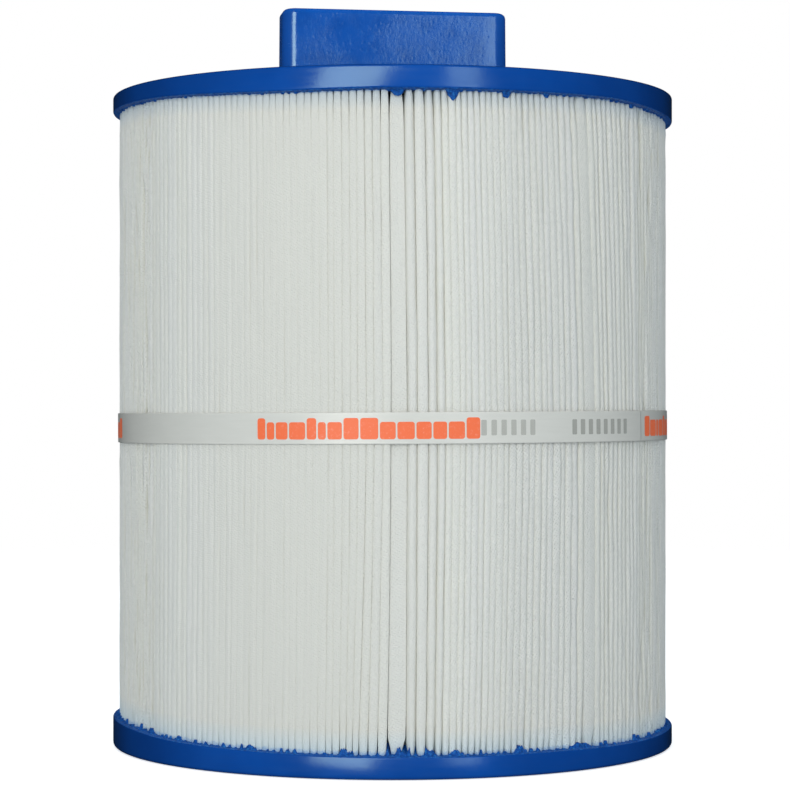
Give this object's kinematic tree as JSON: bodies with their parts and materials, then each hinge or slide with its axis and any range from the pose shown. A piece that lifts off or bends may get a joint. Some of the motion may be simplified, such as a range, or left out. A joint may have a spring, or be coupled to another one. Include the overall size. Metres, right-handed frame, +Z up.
{
  "type": "pleated filter cartridge",
  "caption": "Round pleated spa filter cartridge with cast end caps, a solid block handle on top and an open outlet hole below.",
  "frame": {"origin": "centre of the bottom cap's face, on the surface that the cartridge stands on", "axes": "+Z up along the cartridge's axis, +X along the handle's length, -Y towards the side seen first"},
  "size_m": [0.214, 0.214, 0.2801],
  "materials": {
    "cap_plastic": "satin cast polyurethane",
    "core_plastic": "moulded white plastic",
    "filter_cloth": "point-bonded spun polyester",
    "seam_glue": "hot-melt glue",
    "strap_plastic": "translucent white film"
  },
  "bodies": {
    "root": {"top_end_cap": "cap_plastic", "bottom_end_cap": "cap_plastic", "core_tube": "core_plastic", "pleated_cloth": "filter_cloth", "cloth_seam": "seam_glue", "strap": "strap_plastic"}
  },
  "joints": []
}
